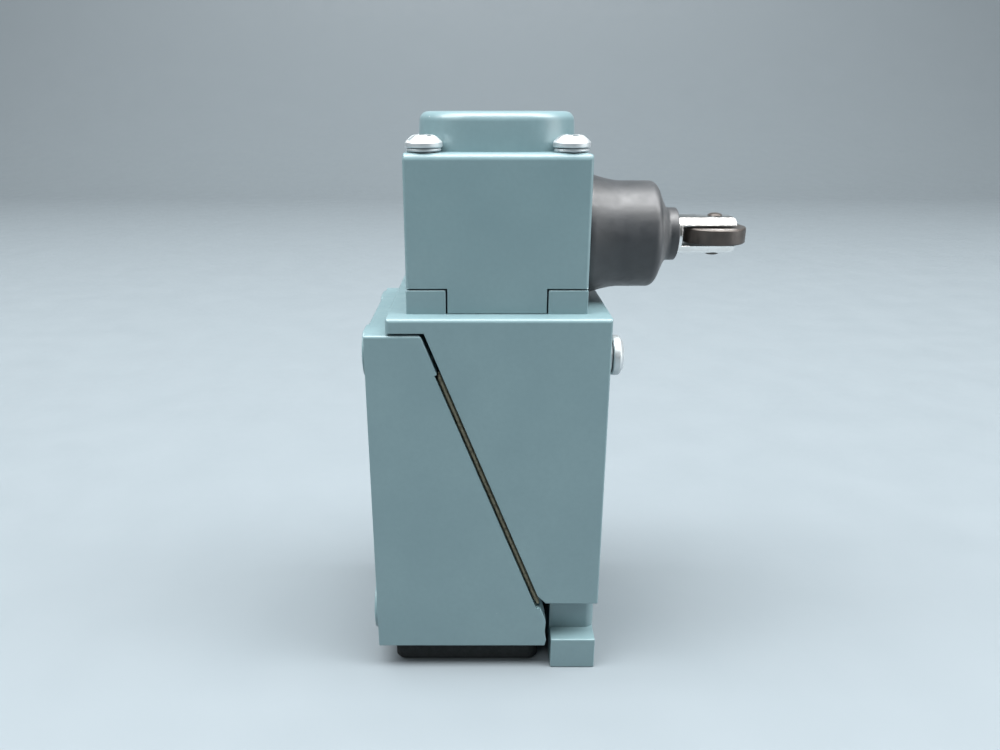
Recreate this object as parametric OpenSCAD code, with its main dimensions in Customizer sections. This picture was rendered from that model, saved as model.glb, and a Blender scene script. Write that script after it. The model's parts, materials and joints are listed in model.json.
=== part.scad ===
// Plug-in limit switch with a side-acting roller plunger, in millimetres.
// +X points from the mounting face to the roller, +Y across, +Z up towards the head.
// The origin is the centre of the mounting-hole pattern, on the mounting face.
// Heights below are counted from the end face of the conduit hub; standing() lowers each
// finished piece by mount_height, so that the origin lands on the mounting holes.

/* [Housing] */
// Width of the base and of the switch body
housing_w = 42; // [41:0.5:44]
// Distance from the mounting face to the front face of the switch body
body_front = 47.15; // [46.8:0.05:48]
// Height of the switch body's top face
body_top = 77.1; // [76.8:0.1:77.4]
// Height of the base's top face
base_top = 73.9; // [73.6:0.1:74]
// Height of the base's underside above its conduit hub
base_bottom = 5; // [4.6:0.1:5.4]

/* [Parting plane] */
// Distance from the mounting face to the parting plane, under the overhang
parting_x = 11.85; // [11.6:0.05:12.1]
// Slope of the parting plane, measured from the vertical
parting_angle = 21.63; // [21.3:0.05:21.9]
// Thickness of the gasket between base and switch body
gasket_t = 1.35; // [1.2:0.05:1.5]

/* [Mounting] */
// Spacing of the mounting holes across the switch
mount_spacing_y = 30.2; // [29.8:0.1:30.6]
// Spacing of the mounting holes up the switch
mount_spacing_z = 59.5; // [59:0.1:60]
// Diameter of the tapped mounting holes
mount_hole_d = 4.1; // [3.8:0.1:4.4]
// Diameter of the tapped conduit entry
conduit_d = 18.3; // [17:0.1:19]

/* [Head] */
// Side of the square operating head
head_w = 34.4; // [34.2:0.1:34.6]
// Height of the head's top face
head_top = 106.5; // [106:0.1:107]
// Height of the dome above the head's top face
dome_h = 7; // [6:0.1:8]
// Spacing of the four head screws
head_screw_spacing = 26.94; // [26.8:0.02:27]

/* [Plunger] */
// Diameter of the plunger
plunger_d = 7.9; // [7.7:0.1:8]
// Height of the plunger's axis
plunger_z = 89.7; // [89.5:0.1:89.9]
// Distance from the mounting face to the free end of the plunger
plunger_end = 73.8; // [73.5:0.05:74]
// Travel of the plunger
plunger_travel = 5; // [4:0.1:5]
// Diameter of the roller
roller_d = 12.7; // [12:0.1:12.9]
// Thickness of the roller
roller_t = 3.2; // [3:0.1:3.4]

/* [Hidden] */

$fn = 64;
eps = 0.01;
running_gap = 0.05;

paint = [0.42, 0.53, 0.55];
zinc = [0.78, 0.79, 0.8];
brass_tone = [0.78, 0.62, 0.3];
silver_tone = [0.85, 0.84, 0.8];
black_plastic = [0.12, 0.12, 0.13];
brown_plastic = [0.3, 0.17, 0.1];
rubber_black = [0.15, 0.16, 0.17];
gasket_tan = [0.62, 0.5, 0.34];
roller_grey = [0.28, 0.26, 0.25];
ground_green = [0.15, 0.45, 0.2];

// Housing
mount_height = 39.6;
rear_x = 0.5;
rear_draft = 0.28;
nose_x = 36.2;
overhang_x = 4.65;
overhang_z = 74.25;
body_bottom = 15.5;
rim_gap = 0.76;
gasket_low = 14.75;
gasket_high = 66.5;
cavity_w = 35.2;
base_cavity_x = 3.2;
base_cavity_low = 17.5;
base_cavity_high = 62;
body_cavity_front = 43.8;
body_cavity_low = 19.5;
body_cavity_high = 62;
top_chamber_x = 20;
top_chamber_w = 21;
top_chamber_high = 72.6;
hub_x0 = 4;
hub_x1 = 35;
hub_w = 37;
hub_corner_r = 2.5;
conduit_x = 19.5;
boss_r = 5.2;
low_boss_shift = 2.2;
mount_hole_depth = 7.5;

// Foot of the switch body, and the hook that it carries
foot_x0 = 37.5;
foot_h = 6.6;
foot_low = -0.5;
foot_recess = 4.4;
foot_corner_r = 2;
hook_x0 = 34.2;
hook_w = 16;
hook_z0 = 1.6;
hook_z1 = 4.4;
hook_gap = 0.4;

// Screws
captive_y = 14;
captive_z = 68.05;
captive_shank_r = 2.08;
captive_tip_x = 8.8;
washer_t_captive = 1;
captive_head_r = 3.95;
captive_head_h = 2.15;
head_screw_r = 3.43;
head_screw_h = 2.2;
head_shank_r = 1.75;
head_washer_t = 0.85;
head_screw_tip_z = 75.5;
small_screw_r = 1.5;
small_head_r = 2.8;
small_head_h = 1.8;

// Head
head_x = 25.6;
post_w = 7.5;
post_top = 81.65;
head_underside = 81.95;
tongue_low = 77.2;
post_gap = 0.3;
dome_len = 29.8;
dome_w = 25.6;
dome_round = 1.7;
dome_corner_r = 10.5;
dome_draft = 0.3;
head_bore_r = 8;
gasket_ring_r0 = 10;
gasket_ring_r1 = 12;
gasket_ring_h = 1.8;

// Plunger and the parts that it drives
ramp_ratio = 0.5;
ramp_z = 86.5;
ramp_groove_w = 4.5;
foot_r = 7.85;
foot_x0_plunger = 18.5;
head_bore_x = foot_x0_plunger - plunger_travel - 2.2;
bushing_x0 = 32.7;
bushing_nose_x = 48.5;
bushing_nose_r = 7;
bead_x0 = 44.6;
bead_x1 = 45.9;
bead_r = 6.3;
fork_slot_x = 63;
fork_slot_h = 3.9;
fork_flat_x = 66.2;
fork_flat = 3.7;
roller_x = 70.1;
pin_r = 1.2;
pin_head_r = 1.45;
pin_head_h = 0.55;
spring_y = 4.9;
spring_z = 91.5;
spring_r = 1.9;
spring_wire = 0.55;
spring_pocket_x = 29;
rod_r = 2;
rod_dome_z = ramp_z - (rod_r + 0.03) / cos(atan(ramp_ratio));
rod_low_z = 77.6;
pin_seal_z = 75.1;

// Boot, as distance from the mounting face and outer radius
boot_x0 = 42.95;
boot_lip_x = 44.75;
boot_flare_r = 12.2;
boot_r = 10.62;
boot_waist_x = 47.6;
boot_shoulder_x = 56.2;
boot_shoulder_r = 1.8;
boot_neck_x0 = 60.15;
boot_neck_x1 = 62.1;
boot_neck_r = 5.3;
boot_wall = 1.3;

// Contacts
contact_y = 10.5;
blade_w = 4;
blade_t = 0.8;
blade_x0 = 9;
blade_x1 = 37;
contact_x = 35.4;
break_z = 52.85;
tip_r = 1.3;
tip_t = 0.6;
bridge_z = 50.8;
contact_gap = 0.1;
carrier_travel = plunger_travel * ramp_ratio;
make_z = bridge_z - blade_t - 2 * tip_t - carrier_travel - contact_gap;
block_x1 = 41;
block_z0 = 21;
block_z1 = 61.5;
chamber_x0 = 31;
chamber_x1 = 40;
chamber_w = 27;
chamber_z0 = 33;
stem_x0 = 32.2;
stem_x1 = 38.8;
stem_w = 8;
stem_z0 = 38;
bar_z0 = block_z1 + carrier_travel + 2 * contact_gap;
bar_z1 = 67.5;
block_screw_y = 8;
block_screw_z = 25.5;
block_screw_sink = 4.5;

// Terminals
terminal_x1 = 12;
terminal_w = 32;
terminal_z0 = 30;
terminal_z1 = 61;
jaw_depth = 4.5;
jaw_t = 0.5;
tab_t = 0.8;
tab_len = 6;
terminal_screw_offset = 4.6;
terminal_block_screw_z = [34.5, 57.5];
ground_z = 24;

// Where the parting plane stands at height z, or a plane that lies back behind it
function parting_at(z, back = 0) =
    parting_x + (overhang_z - z) * tan(parting_angle) - back / cos(parting_angle);

// How far down the parting plane the height z is reached
function run_to(z) = (overhang_z - z) / cos(parting_angle);

// Point of the side outline that lies run down the parting plane and back behind it
function beside_parting(run, back) = [
    parting_x + run * sin(parting_angle) - back * cos(parting_angle),
    overhang_z - run * cos(parting_angle) - back * sin(parting_angle)
];

// Quarter-round points about a centre, from angle a0 to angle a1
function arc(cx, cz, r, a0, a1, steps = 6) =
    [for (i = [0 : steps]) let (a = a0 + (a1 - a0) * i / steps) [cx + r * cos(a), cz + r * sin(a)]];

module standing() translate([0, 0, -mount_height]) children();

module extrude_y(w) rotate([90, 0, 0]) linear_extrude(w, center = true) children();

module extrude_x(x0, x1) translate([x0, 0, 0]) rotate([90, 0, 90]) linear_extrude(x1 - x0) children();

module block(x0, x1, w, z0, z1) translate([x0, -w / 2, z0]) cube([x1 - x0, w, z1 - z0]);

module rod_x(x0, x1, r, y = 0, z = 0) translate([x0, y, z]) rotate([0, 90, 0]) cylinder(h = x1 - x0, r = r);

module rod_z(z0, z1, r, x = 0, y = 0) translate([x, y, z0]) cylinder(h = z1 - z0, r = r);

module tube_x(x0, x1, r0, r1, y = 0, z = 0) {
    difference() {
        rod_x(x0, x1, r1, y, z);
        rod_x(x0 - eps, x1 + eps, r0, y, z);
    }
}

module tube_z(z0, z1, r0, r1, x = 0, y = 0) {
    difference() {
        rod_z(z0, z1, r1, x, y);
        rod_z(z0 - eps, z1 + eps, r0, x, y);
    }
}

module round_rect(w, d, r) {
    square([w - 2 * r, d], center = true);
    square([w, d - 2 * r], center = true);
    for (i = [-1, 1], j = [-1, 1]) translate([i * (w / 2 - r), j * (d / 2 - r)]) circle(r);
}

module both_sides() for (side = [-1, 1]) scale([1, side, 1]) children();

// Local +X runs down the parting plane and local +Z leaves it towards the switch body
module on_parting() translate([parting_x, 0, overhang_z]) rotate([0, 90 - parting_angle, 0]) children();

// Pan-head screw along +Z: the head stands on z = 0 and the shank hangs below
module pan_screw(head_r, head_h, shank_r, shank_len) {
    rim = 0.35 * head_h;
    difference() {
        union() {
            rotate_extrude() polygon(concat(
                [[0, 0], [head_r, 0]],
                [for (a = [0 : 15 : 90]) [head_r * (0.5 + 0.5 * cos(a)), rim + (head_h - rim) * sin(a)]],
                [[0, head_h]]));
            rod_z(-shank_len, eps, shank_r);
        }
        slot_w = 0.32 * head_r;
        translate([-head_r - eps, -slot_w / 2, 0.5 * head_h]) cube([2 * head_r + 2 * eps, slot_w, head_h]);
        translate([-slot_w / 2, -0.55 * head_r, 0.4 * head_h]) cube([slot_w, 1.1 * head_r, head_h]);
    }
}

// Split spring washer along +Z
module split_washer(r0, r1, t) {
    difference() {
        tube_z(0, t, r0, r1);
        rotate([0, 0, 20]) translate([r0 - 0.2, -0.25, -eps]) rotate([25, 0, 0])
            cube([r1 - r0 + 0.5, 0.5, 2 * t]);
    }
}

module at_head_screws() {
    for (i = [-1, 1], j = [-1, 1])
        translate([head_x + i * head_screw_spacing / 2, j * head_screw_spacing / 2, 0]) children();
}

module at_captive_screws() {
    both_sides() translate([body_front, captive_y, captive_z]) rotate([0, 90, 0]) children();
}

// Base: the fixed receptacle with the mounting holes and the conduit entry
base_outline = [
    [rear_x + rear_draft, base_bottom], [nose_x, base_bottom], [nose_x + 0.3, base_bottom + 1.5],
    [nose_x - 0.1, base_bottom + 2.8], [nose_x + 0.1, base_bottom + 6], [nose_x - 0.9, base_bottom + 8.9],
    beside_parting(run_to(gasket_low), rim_gap), beside_parting(run_to(gasket_low), gasket_t),
    beside_parting(run_to(gasket_high), gasket_t), beside_parting(run_to(gasket_high), rim_gap),
    [parting_at(base_top, rim_gap), base_top], [rear_x, base_top]
];

// Round bosses at the mounting holes, cut off at the base's top; the lower two sit a little higher
module mounting_bosses() {
    intersection() {
        for (i = [-1, 1], z = [mount_spacing_z / 2, low_boss_shift - mount_spacing_z / 2])
            rod_x(0, 1, boss_r, i * mount_spacing_y / 2, mount_height + z);
        block(-1, 2, housing_w, base_bottom, base_top);
    }
}

module base_housing() {
    color(paint) standing() difference() {
        union() {
            extrude_y(housing_w) polygon(base_outline);
            translate([(hub_x0 + hub_x1) / 2, 0, 0]) linear_extrude(base_bottom + eps)
                round_rect(hub_x1 - hub_x0, hub_w, hub_corner_r);
            mounting_bosses();
        }
        extrude_y(cavity_w) polygon([
            [base_cavity_x, base_cavity_low], [nose_x + 5, base_cavity_low],
            [nose_x + 5, base_cavity_high], [base_cavity_x, base_cavity_high]]);
        rod_z(-eps, base_cavity_low + eps, conduit_d / 2, conduit_x);
        for (i = [-1, 1], j = [-1, 1])
            rod_x(-eps, mount_hole_depth, mount_hole_d / 2, i * mount_spacing_y / 2,
                mount_height + j * mount_spacing_z / 2);
        both_sides()
            rod_x(captive_tip_x - 0.5, parting_x + 5, captive_shank_r + running_gap, captive_y, captive_z);
        for (z = terminal_block_screw_z) rod_x(0.9, base_cavity_x + eps, small_screw_r + running_gap, 0, z);
        rod_x(0.9, base_cavity_x + eps, small_screw_r + running_gap, 0, ground_z);
        block(hook_x0 - 0.6, nose_x + 1, hook_w + 2 * hook_gap, hook_z0 - hook_gap, hook_z1 + hook_gap);
    }
}

// Gasket frame on the parting plane, with a thinner lip round its edge
module base_gasket() {
    run0 = run_to(gasket_high) + 0.15;
    run1 = run_to(gasket_low) - 0.15;
    hole0 = run_to(base_cavity_high);
    hole1 = run_to(body_cavity_low);
    lip = 0.62;
    color(gasket_tan) standing() on_parting() difference() {
        union() {
            translate([run0 + 1, 1.3 - housing_w / 2, eps - gasket_t])
                cube([run1 - run0 - 2.2, housing_w - 2.6, gasket_t - 2 * eps]);
            translate([(run0 + run1) / 2, 0, -(gasket_t + lip) / 2]) linear_extrude(lip)
                round_rect(run1 - run0 - 0.4, housing_w - 1.2, 0.8);
        }
        translate([hole0, -cavity_w / 2, -gasket_t - 1]) cube([hole1 - hole0, cavity_w, gasket_t + 2]);
    }
}

// Terminal block with pockets for the jaws and wells for its screws
module terminal_block() {
    color(brown_plastic) standing() difference() {
        block(base_cavity_x + 0.1, terminal_x1, terminal_w, terminal_z0, terminal_z1);
        for (z = [break_z, make_z]) both_sides() translate([0, contact_y, 0])
            block(terminal_x1 - jaw_depth, terminal_x1 + 1, blade_w + 1.2, z - 1.6, z + 1.6);
        for (i = [-1, 1], s = [[break_z, 1], [make_z, -1]])
            rod_x(base_cavity_x + 2, terminal_x1 + 1, small_screw_r + running_gap, i * contact_y,
                s[0] + s[1] * terminal_screw_offset);
        for (z = terminal_block_screw_z) {
            rod_x(base_cavity_x, terminal_x1 + 1, small_screw_r + 0.2, 0, z);
            rod_x(terminal_x1 - 3, terminal_x1 + 1, small_head_r + 0.3, 0, z);
        }
        block(terminal_x1 - 1.2, terminal_x1 + 1, 1.2, terminal_z0 - 1, terminal_z1 + 1);
    }
}

module terminal_block_screws() {
    color(zinc) standing() for (z = terminal_block_screw_z)
        translate([terminal_x1 - 3, 0, z]) rotate([0, 90, 0])
            pan_screw(small_head_r, small_head_h, small_screw_r, terminal_x1 - 4);
}

// One brass strip per pole: two leaves that grip the blade, and a tab under the wire clamp
module terminal_strips() {
    back = terminal_x1 - jaw_depth + 0.1;
    inner = blade_t / 2 + 0.02;
    outer = blade_t / 2 + jaw_t;
    color(brass_tone) standing() for (i = [-1, 1], s = [[break_z, 1], [make_z, -1]])
        translate([0, i * contact_y, s[0]]) scale([1, 1, s[1]]) difference() {
            union() {
                block(back, terminal_x1 + 0.05, blade_w, inner, outer);
                block(back, terminal_x1 - 0.3, blade_w, -outer, -inner);
                block(back, back + jaw_t, blade_w, -outer, outer);
                block(terminal_x1 + 0.02, terminal_x1 + tab_t, blade_w + 1.6, inner, inner + tab_len + 1);
            }
            rod_x(terminal_x1 - 1, terminal_x1 + 2, small_screw_r + 0.1, 0, terminal_screw_offset);
        }
}

module wire_clamps() {
    clamp_x = terminal_x1 + tab_t + 0.02;
    color(zinc) standing() for (i = [-1, 1], s = [[break_z, 1], [make_z, -1]])
        translate([clamp_x, i * contact_y, s[0] + s[1] * terminal_screw_offset]) difference() {
            block(0, 1.1, blade_w + 2.4, -2.6, 2.6);
            rod_x(-1, 2, small_screw_r + 0.1);
            for (j = [-1, 1]) translate([0, j * 2.4, 0]) rotate([45, 0, 0]) block(-1, 0.4, 0.8, -0.4, 0.4);
        }
}

module terminal_screws() {
    seat_x = terminal_x1 + tab_t + 1.14;
    color(zinc) standing() for (i = [-1, 1], s = [[break_z, 1], [make_z, -1]])
        translate([seat_x, i * contact_y, s[0] + s[1] * terminal_screw_offset]) rotate([0, 90, 0])
            pan_screw(small_head_r, small_head_h, small_screw_r, 8);
}

module ground_screw() {
    color(ground_green) standing() translate([base_cavity_x + 0.1, 0, ground_z]) rotate([0, 90, 0])
        pan_screw(small_head_r, small_head_h, small_screw_r, 2);
}

// Switch body: the removable housing with the foot, the four corner posts and the overhang
body_outline = [
    [overhang_x, overhang_z], [parting_x, overhang_z], [parting_at(body_bottom + 1.7), body_bottom + 1.7],
    [parting_at(body_bottom + 1.7) + 1.7, body_bottom], [body_front, body_bottom],
    [body_front, body_top], [overhang_x, body_top]
];

module foot_column() {
    column_w = housing_w - 2 * foot_recess;
    difference() {
        translate([(foot_x0 + body_front) / 2, 0, foot_low]) linear_extrude(body_bottom + 1 - foot_low)
            round_rect(body_front - foot_x0, column_w, foot_corner_r);
        block(foot_x0 - 1, foot_x0, column_w, foot_low, body_bottom);
    }
    block(foot_x0, foot_x0 + foot_corner_r + 1, column_w, foot_low, body_bottom + 1);
}

module head_posts() {
    for (i = [-1, 1], j = [-1, 1])
        translate([head_x + i * (head_w - post_w) / 2, j * (head_w - post_w) / 2, (body_top + post_top) / 2])
            cube([post_w, post_w, post_top - body_top + 2 * eps], center = true);
}

module switch_body() {
    color(paint) standing() difference() {
        union() {
            difference() {
                extrude_y(housing_w) polygon(body_outline);
                extrude_y(cavity_w) polygon([
                    [parting_at(body_cavity_low) - 6, body_cavity_low],
                    [body_cavity_front, body_cavity_low],
                    [body_cavity_front, body_cavity_high],
                    [parting_at(body_cavity_high) - 6, body_cavity_high]]);
                block(top_chamber_x, body_cavity_front, top_chamber_w,
                    body_cavity_high - eps, top_chamber_high);
            }
            foot_column();
            block(foot_x0, body_front - 0.2, housing_w, foot_low, foot_h);
            block(hook_x0, foot_x0 + 1, hook_w, hook_z0, hook_z1);
            head_posts();
            both_sides() rod_x(block_x1 + 0.1, body_cavity_front + 1, 3.4, block_screw_y, block_screw_z);
        }
        at_head_screws() rod_z(head_screw_tip_z - 0.4, post_top + 1, head_shank_r + running_gap);
        rod_z(top_chamber_high - 1, body_top + 1, rod_r + running_gap, head_x);
        rod_z(pin_seal_z - 0.1, body_top + 1, rod_r + 1.3, head_x);
        for (i = [-1, 1]) {
            rod_x(parting_x - 2, body_front + 1, captive_shank_r + 0.12, i * captive_y, captive_z);
            rod_x(block_x1, body_front - 1.4, small_screw_r + running_gap, i * block_screw_y, block_screw_z);
        }
    }
}

// Contact block: insulating housing of the contacts
module contact_block() {
    face = 1;
    slot_half = blade_t / 2 + 0.05;
    screw_x = parting_at(block_screw_z) + block_screw_sink;
    color(black_plastic) standing() difference() {
        extrude_y(cavity_w - 0.6) polygon([
            [parting_at(block_z0) + face, block_z0], [block_x1, block_z0],
            [block_x1, block_z1], [parting_at(block_z1) + face, block_z1]]);
        block(chamber_x0, chamber_x1, chamber_w, chamber_z0, block_z1 + 1);
        for (z = [break_z, make_z]) both_sides() translate([0, contact_y, 0])
            block(0, chamber_x0 + 1, blade_w + 0.1, z - slot_half, z + slot_half);
        both_sides() rod_x(screw_x - 4, block_x1 + 1, small_screw_r + 0.2, block_screw_y, block_screw_z);
        both_sides() rod_x(screw_x - 4, screw_x, small_head_r + 0.4, block_screw_y, block_screw_z);
    }
}

module contact_block_screws() {
    seat_x = parting_at(block_screw_z) + block_screw_sink;
    color(zinc) standing() both_sides() translate([seat_x, block_screw_y, block_screw_z]) rotate([0, -90, 0])
        pan_screw(small_head_r, small_head_h, small_screw_r, body_front - 2 - seat_x);
}

// One blade with its silver tip; the tip is on the side that faces the bridge
module blade(z, tip_side) {
    tip_z = z + tip_side * (blade_t / 2 + tip_t);
    block(blade_x0, blade_x1, blade_w, z - blade_t / 2, z + blade_t / 2);
    rod_z(min(z, tip_z), max(z, tip_z), tip_r, contact_x);
}

module break_contacts() {
    color(silver_tone) standing() both_sides() translate([0, contact_y, 0]) blade(break_z, -1);
}

module make_contacts() {
    color(silver_tone) standing() both_sides() translate([0, contact_y, 0]) blade(make_z, 1);
}

module captive_screws() {
    shank = body_front + washer_t_captive - captive_tip_x;
    color(zinc) standing() at_captive_screws() translate([0, 0, washer_t_captive])
        pan_screw(captive_head_r, captive_head_h, captive_shank_r, shank);
}

module captive_washers() {
    color(zinc) standing() at_captive_screws() translate([0, 0, eps])
        split_washer(captive_shank_r + 0.1, captive_head_r - 0.35, washer_t_captive - 2 * eps);
}

module operating_pin() {
    color(zinc) standing() rod_z(bar_z1 + 0.02, rod_low_z - 0.05, rod_r, head_x);
}

module pin_seal() {
    color(rubber_black) standing() tube_z(pin_seal_z, pin_seal_z + 1.3, rod_r + 0.03, rod_r + 1.25, head_x);
}

// Carrier: a bar under the operating pin and a stem with a window for the bridge
module contact_carrier() {
    window_z0 = bridge_z - 5.3;
    window_z1 = bridge_z + blade_t / 2 + 0.1;
    color(brown_plastic) standing() difference() {
        union() {
            block(head_x - 3, stem_x1, stem_w, bar_z0, bar_z1);
            block(stem_x0, stem_x1, stem_w, stem_z0, bar_z0 + eps);
        }
        block(contact_x - 1.7, contact_x + 1.7, stem_w + 1, window_z0, window_z1);
        rod_z(stem_z0 - 1, stem_z0 + 4, 2.5, contact_x);
    }
}

module contact_bridge() {
    color(silver_tone) standing() {
        block(contact_x - 1.5, contact_x + 1.5, 2 * contact_y + 3,
            bridge_z - blade_t / 2, bridge_z + blade_t / 2);
        both_sides() rod_z(bridge_z - 1, bridge_z + 1, tip_r, contact_x, contact_y);
    }
}

module bridge_spring() {
    color(zinc) standing() tube_z(bridge_z - 5.25, bridge_z - blade_t / 2 - 0.03, 0.9, 1.4, contact_x);
}

module carrier_spring() {
    color(zinc) standing() tube_z(chamber_z0 + 0.05, stem_z0 + 3.95, 1.7, 2.3, contact_x);
}

// Dome: a pillow with round corners; its sides lean in by the draft and its top edge is rounded
function domed_side(half) = concat(
    [[half + dome_draft, head_top - 1], [half + dome_draft, head_top]],
    arc(half - dome_round, head_top + dome_h - dome_round, dome_round, 0, 90));

module domed_profile(w) {
    side = domed_side(w / 2);
    polygon(concat(side, [for (i = [len(side) - 1 : -1 : 0]) [-side[i][0], side[i][1]]]));
}

module dome() {
    reach_x = dome_len / 2 - dome_corner_r;
    reach_y = dome_w / 2 - dome_corner_r;
    top = head_top + dome_h;
    translate([head_x, 0, 0]) extrude_y(2 * reach_y) domed_profile(dome_len);
    extrude_x(head_x - reach_x, head_x + reach_x) domed_profile(dome_w);
    for (i = [-1, 1], j = [-1, 1]) translate([head_x + i * reach_x, j * reach_y, 0])
        rotate_extrude() polygon(concat([[0, head_top - 1]], domed_side(dome_corner_r), [[0, top]]));
}

// Head: square casting with a cross-shaped tongue below and the dome on top
module head_housing() {
    tongue_w = head_w - 2 * (post_w + post_gap);
    low = tongue_low;
    color(paint) standing() difference() {
        union() {
            block(head_x - head_w / 2, head_x + head_w / 2, head_w, head_underside, head_top);
            block(head_x - tongue_w / 2, head_x + tongue_w / 2, head_w, low, head_underside + eps);
            block(head_x - head_w / 2, head_x + head_w / 2, tongue_w, low, head_underside + eps);
            dome();
        }
        rod_x(head_bore_x, head_x + head_w, head_bore_r, 0, plunger_z);
        block(head_x - 11, bushing_x0 - 0.2, 15.4, plunger_z, head_top + dome_h - 2.9);
        at_head_screws() rod_z(low - 1, head_top + dome_h, head_shank_r + 0.25);
        rod_z(low - 1, plunger_z, rod_r + running_gap, head_x);
        tube_z(low - 1, low + gasket_ring_h, gasket_ring_r0 - 0.1, gasket_ring_r1 + 0.1, head_x);
        rod_z(low + 1.6, low + 2.9, rod_r + 1.2, head_x);
    }
}

module head_gasket() {
    color(rubber_black) standing() tube_z(body_top + 0.02, tongue_low + gasket_ring_h - 0.05,
        gasket_ring_r0, gasket_ring_r1, head_x);
}

module head_screws() {
    seat = head_top + head_washer_t;
    color(zinc) standing() at_head_screws() translate([0, 0, seat]) rotate([0, 0, 35])
        pan_screw(head_screw_r, head_screw_h, head_shank_r, seat - head_screw_tip_z);
}

module head_washers() {
    color(zinc) standing() at_head_screws() translate([0, 0, head_top + eps])
        split_washer(head_shank_r + 0.1, head_screw_r - 0.25, head_washer_t - 2 * eps);
}

module plunger_bushing() {
    color(zinc) standing() difference() {
        union() {
            rod_x(bushing_x0, head_x + head_w / 2, head_bore_r - 0.02, 0, plunger_z);
            rod_x(head_x + head_w / 2 - 1, bushing_nose_x, bushing_nose_r, 0, plunger_z);
        }
        rod_x(0, bushing_nose_x + 1, plunger_d / 2 + running_gap, 0, plunger_z);
        tube_x(bead_x0 - 0.05, bead_x1 + 0.05, bead_r - 0.1, bushing_nose_r + 1, 0, plunger_z);
    }
}

// Plunger: a fork outside, a round shaft, and a larger inner foot with the drive ramp
module fork_outline() {
    half = plunger_d / 2;
    round_r = 0.9;
    intersection() {
        polygon(concat(
            [[foot_x0_plunger, -20], [plunger_end - round_r, -20]],
            [[plunger_end - round_r, -fork_flat]],
            arc(plunger_end - round_r, round_r - fork_flat, round_r, -90, 0),
            arc(plunger_end - round_r, fork_flat - round_r, round_r, 0, 90),
            [[plunger_end - round_r, 20], [foot_x0_plunger, 20]]));
        union() {
            translate([0, -20]) square([fork_flat_x, 40]);
            translate([0, -fork_flat]) square([plunger_end + half, 2 * fork_flat]);
        }
    }
}

module plunger() {
    drop = 12;
    color(silver_tone) standing() difference() {
        union() {
            rod_x(foot_x0_plunger, bushing_x0 - 0.05, foot_r, 0, plunger_z);
            intersection() {
                rod_x(foot_x0_plunger, plunger_end, plunger_d / 2, 0, plunger_z);
                translate([0, 0, plunger_z]) extrude_y(20) fork_outline();
            }
        }
        block(fork_slot_x, plunger_end + 1, plunger_d + 1,
            plunger_z - fork_slot_h / 2, plunger_z + fork_slot_h / 2);
        rod_z(plunger_z - 10, plunger_z + 10, pin_r + 0.01, roller_x);
        for (i = [-1, 1])
            rod_x(foot_x0_plunger - 1, spring_pocket_x, spring_r + 0.2, i * spring_y, spring_z);
        extrude_y(ramp_groove_w) polygon([
            [head_x - drop, ramp_z + drop * ramp_ratio], [head_x - drop, ramp_z - drop],
            [head_x + drop, ramp_z - drop], [head_x + drop, ramp_z - drop * ramp_ratio]]);
    }
}

module plunger_springs() {
    inner_r = spring_r - spring_wire;
    color(zinc) standing() both_sides()
        tube_x(head_bore_x + 0.02, spring_pocket_x - 0.03, inner_r, spring_r, spring_y, spring_z);
}

module roller() {
    edge = 0.25;
    r = roller_d / 2;
    half = roller_t / 2;
    bore = pin_r + running_gap;
    color(roller_grey) standing() translate([roller_x, 0, plunger_z]) rotate_extrude() polygon([
        [bore, -half], [r - edge, -half], [r, edge - half],
        [r, half - edge], [r - edge, half], [bore, half]]);
}

module roller_pin() {
    end = fork_flat + 0.02;
    head = [for (a = [0 : 15 : 90]) [pin_head_r * cos(a), end + pin_head_h * sin(a)]];
    color(roller_grey) standing() translate([roller_x, 0, plunger_z]) rotate_extrude() polygon(concat(
        [[0, -end - pin_head_h]], [for (p = [len(head) - 2 : -1 : 0]) [head[p][0], -head[p][1]]],
        [[pin_r, -end], [pin_r, end]], [for (p = [0 : len(head) - 2]) head[p]], [[0, end + pin_head_h]]));
}

// Boot: a turned rubber shell that snaps on the bushing and grips the plunger
module boot() {
    outer = concat(
        [[boot_x0, boot_flare_r], [boot_lip_x, boot_flare_r]],
        [for (i = [1 : 5]) let (t = i / 5)
            [boot_lip_x + t * (boot_waist_x - boot_lip_x), boot_r + (boot_flare_r - boot_r) * pow(1 - t, 2)]],
        arc(boot_shoulder_x, boot_r - boot_shoulder_r, boot_shoulder_r, 90, 20, 7),
        [[boot_neck_x0 - 0.4, boot_neck_r + 0.4], [boot_neck_x0, boot_neck_r],
            [boot_neck_x1 - 0.2, boot_neck_r], [boot_neck_x1, boot_neck_r - 0.2]]);
    grip = plunger_d / 2 + running_gap;
    inner = [
        [boot_neck_x1, grip], [boot_neck_x0 - 1.2, grip], [boot_shoulder_x + 0.9, boot_r - 3.4],
        [boot_shoulder_x - 0.9, boot_r - boot_wall], [boot_waist_x - 0.6, boot_r - boot_wall],
        [bead_x1, bushing_nose_r + 0.85], [bead_x1, bead_r], [bead_x0, bead_r],
        [bead_x0, bushing_nose_r + 0.05], [boot_x0, bushing_nose_r + 0.05]];
    color(rubber_black) standing() translate([0, 0, plunger_z]) rotate([0, 90, 0])
        rotate_extrude() polygon([for (p = concat(outer, inner)) [p[1], p[0]]]);
}

module head_pushrod() {
    color(zinc) standing() {
        rod_z(rod_low_z, rod_dome_z, rod_r, head_x);
        translate([head_x, 0, rod_dome_z]) sphere(rod_r);
    }
}

module pushrod_seal() {
    color(rubber_black) standing()
        tube_z(tongue_low + 1.65, tongue_low + 2.85, rod_r + 0.03, rod_r + 1.15, head_x);
}

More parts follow.
